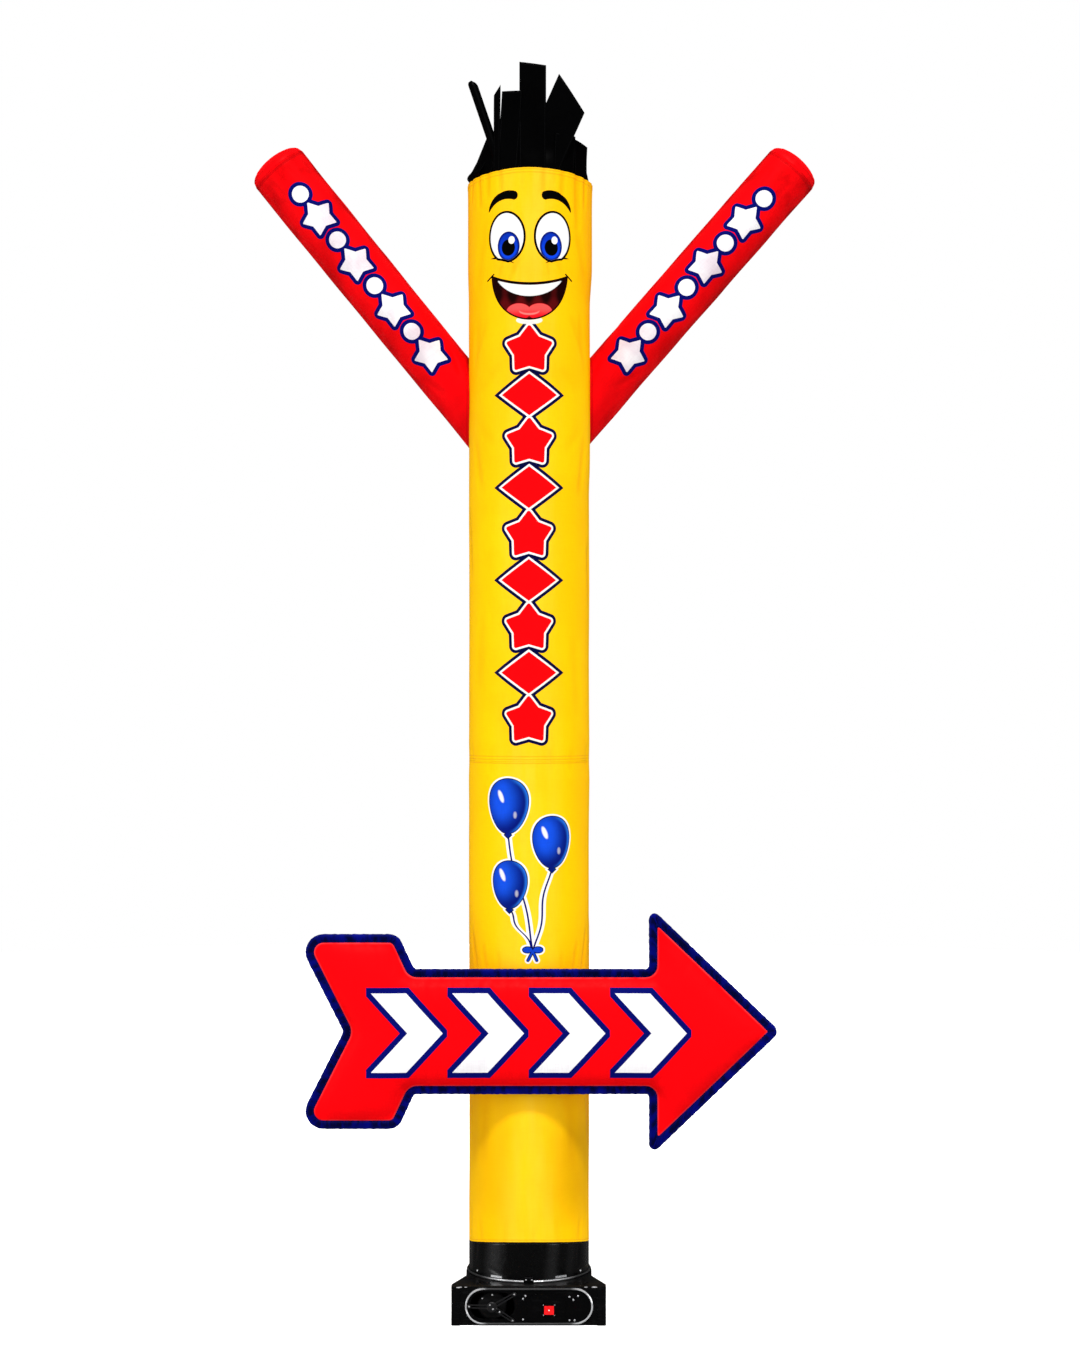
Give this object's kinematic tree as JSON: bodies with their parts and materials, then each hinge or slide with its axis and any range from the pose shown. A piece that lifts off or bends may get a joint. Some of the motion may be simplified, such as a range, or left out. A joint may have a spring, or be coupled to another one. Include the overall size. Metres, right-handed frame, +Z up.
{
  "type": "inflatable air dancer with blower",
  "caption": "Tall cloth tube with two raised sleeve arms, a wide air-filled arrow across its front and strips of cloth for hair, standing on the low blower that fills it.",
  "frame": {"origin": "on the floor, under the centre of the blower's round outlet and of the cloth tube", "axes": "+Z up along the tube; the face, the arrow and the blower's switch look along -Y; the arrow points along +X"},
  "size_m": [1.4423, 0.398, 3.142],
  "materials": {
    "yellow_cloth": "satin",
    "red_cloth": "satin",
    "navy_cloth": "satin",
    "black_cloth": "matte",
    "black_plastic": "satin",
    "gloss_plastic": "gloss",
    "red_plastic": "gloss",
    "steel": "bright",
    "painted_metal": "satin"
  },
  "bodies": {
    "dancer": {"tube_lower": "yellow_cloth", "tube_upper": "yellow_cloth", "cuff": "black_cloth", "arm_left": "red_cloth", "arm_left_cap": "red_cloth", "arm_right": "red_cloth", "arm_right_cap": "red_cloth", "arrow_cushion": "red_cloth", "arrow_binding": "navy_cloth", "hair": "black_cloth", "blower_casing": "black_plastic", "fascia": "gloss_plastic", "fascia_rim": "steel", "motor_bracket": "painted_metal", "motor": "painted_metal", "switch_plate": "black_plastic", "switch_housing": "gloss_plastic", "fascia_screw_1": "steel", "fascia_screw_2": "steel", "fascia_screw_3": "steel", "fascia_screw_4": "steel", "fascia_screw_5": "steel", "fascia_screw_6": "steel", "fascia_screw_7": "steel", "fascia_screw_8": "steel", "hoop": "steel", "hoop_clasp": "black_plastic", "keeper_left": "steel", "keeper_right": "steel", "stud_left": "steel", "stud_right": "steel", "cable_gland": "black_plastic"},
    "rocker": {"rocker": "red_plastic"}
  },
  "joints": [
    {"name": "rocker_tilt", "type": "hinge", "parent": "dancer", "child": "rocker", "pos_m": [0.0504, -0.1953, 0.0397], "axis": [1, 0, 0], "range_deg": [0, 14]}
  ]
}
